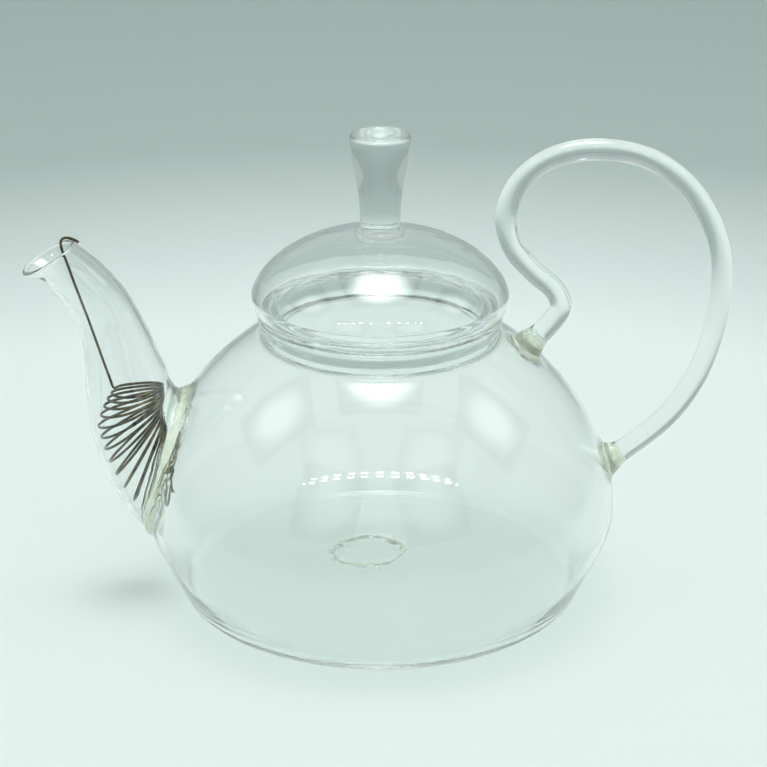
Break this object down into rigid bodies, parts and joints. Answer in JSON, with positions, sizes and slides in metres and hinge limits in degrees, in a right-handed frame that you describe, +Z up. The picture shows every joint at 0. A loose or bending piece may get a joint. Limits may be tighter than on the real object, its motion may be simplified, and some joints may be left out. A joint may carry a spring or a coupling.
{
  "type": "glass teapot",
  "caption": "Clear glass teapot with a low round bowl, tapered spout, looped rod handle, drop-in lid with a flared knob, and a wire coil strainer in the spout.",
  "frame": {"origin": "centre of the flat base, on the surface that the pot stands on", "axes": "+Z up through the knob, +X towards the handle, -X towards the spout"},
  "size_m": [0.2155, 0.146, 0.1474],
  "materials": {
    "clear_glass": "clear",
    "spring_wire": "drawn"
  },
  "bodies": {
    "pot": {"bowl": "clear_glass", "neck_collar": "clear_glass", "pontil_scar": "clear_glass", "spout": "clear_glass", "spout_weld": "clear_glass", "handle": "clear_glass", "handle_lower_weld": "clear_glass", "handle_upper_weld": "clear_glass"},
    "lid": {"lid_dome": "clear_glass", "lid_flange": "clear_glass", "lid_knob": "clear_glass", "lid_knob_weld": "clear_glass"},
    "strainer": {"strainer_hook_stem": "spring_wire", "strainer_coil": "spring_wire"}
  },
  "joints": [
    {"name": "lid_lift", "type": "slide", "parent": "pot", "child": "lid", "axis": [-0.3, 0, 0.9539], "range_m": [0, 0.07]},
    {"name": "strainer_pull", "type": "slide", "parent": "pot", "child": "strainer", "axis": [-0.2951, 0, 0.9555], "range_m": [0, 0.04], "deforming": ["strainer_coil"]}
  ]
}
